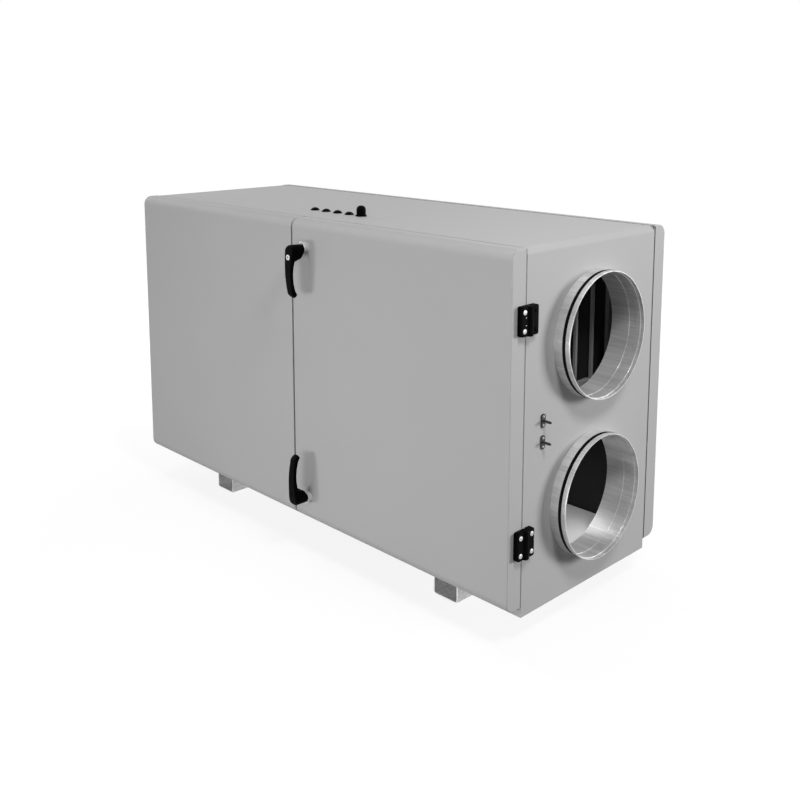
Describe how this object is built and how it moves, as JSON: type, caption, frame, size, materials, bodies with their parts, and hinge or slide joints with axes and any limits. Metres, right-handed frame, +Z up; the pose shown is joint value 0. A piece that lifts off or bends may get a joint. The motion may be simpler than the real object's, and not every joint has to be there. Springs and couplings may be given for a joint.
{
  "type": "air handling unit",
  "caption": "Free-standing insulated air handling unit with round duct spigots at both ends and a hinged service door with lever handles.",
  "frame": {"origin": "on the ground below the middle of the whole unit, handles and spigots included", "axes": "+Z up, +X towards the end beside the door's hinges, -Y towards the door"},
  "size_m": [1.65, 0.688, 0.988],
  "materials": {
    "painted_steel": "satin grey powder coat",
    "inner_sheet": "plain galvanised sheet",
    "galvanised": "bright galvanised",
    "seal_rubber": "matt",
    "filter_paper": "matt pleated paper",
    "black_plastic": "semi-matt",
    "dark_plastic": "semi-matt",
    "white_plastic": "gloss"
  },
  "bodies": {
    "housing": {"right_shell": "painted_steel", "left_shell": "painted_steel", "floor_panel": "painted_steel", "centre_wall": "inner_sheet", "right_shelf": "inner_sheet", "left_shelf": "inner_sheet", "front_panel": "painted_steel", "back_panel_left": "painted_steel", "back_panel_right": "painted_steel", "front_seal": "seal_rubber", "back_seal_left": "seal_rubber", "back_seal_right": "seal_rubber", "right_upper_spigot": "galvanised", "right_lower_spigot": "galvanised", "left_upper_spigot": "galvanised", "left_lower_spigot": "galvanised", "right_upper_gasket": "seal_rubber", "right_lower_gasket": "seal_rubber", "left_upper_gasket": "seal_rubber", "left_lower_gasket": "seal_rubber", "filter_frame": "inner_sheet", "filter_media": "filter_paper", "upper_pressure_tap": "dark_plastic", "lower_pressure_tap": "dark_plastic", "cable_grommet_1": "black_plastic", "cable_grommet_2": "black_plastic", "cable_grommet_3": "black_plastic", "cable_grommet_4": "black_plastic", "cable_gland": "black_plastic", "left_foot": "galvanised", "right_foot": "galvanised", "upper_hinge_base": "black_plastic", "lower_hinge_base": "black_plastic"},
    "door": {"door": "painted_steel", "door_seal": "seal_rubber", "upper_hinge_leaf": "black_plastic", "lower_hinge_leaf": "black_plastic", "upper_handle_boss": "galvanised", "lower_handle_boss": "galvanised"},
    "upper_handle": {"upper_lever": "black_plastic", "upper_button": "white_plastic", "upper_spindle": "galvanised"},
    "lower_handle": {"lower_lever": "black_plastic", "lower_button": "black_plastic", "lower_spindle": "galvanised"}
  },
  "joints": [
    {"name": "door_swing", "type": "hinge", "parent": "housing", "child": "door", "pos_m": [0.79, -0.231, 0.518], "axis": [0, 0, 1], "range_deg": [0, 110]},
    {"name": "upper_lever_turn", "type": "hinge", "parent": "door", "child": "upper_handle", "pos_m": [0.062, -0.281, 0.886], "axis": [0, -1, 0], "range_deg": [0, 90]},
    {"name": "lower_lever_turn", "type": "hinge", "parent": "door", "child": "lower_handle", "pos_m": [0.062, -0.281, 0.175], "axis": [0, 1, 0], "range_deg": [0, 90]}
  ]
}
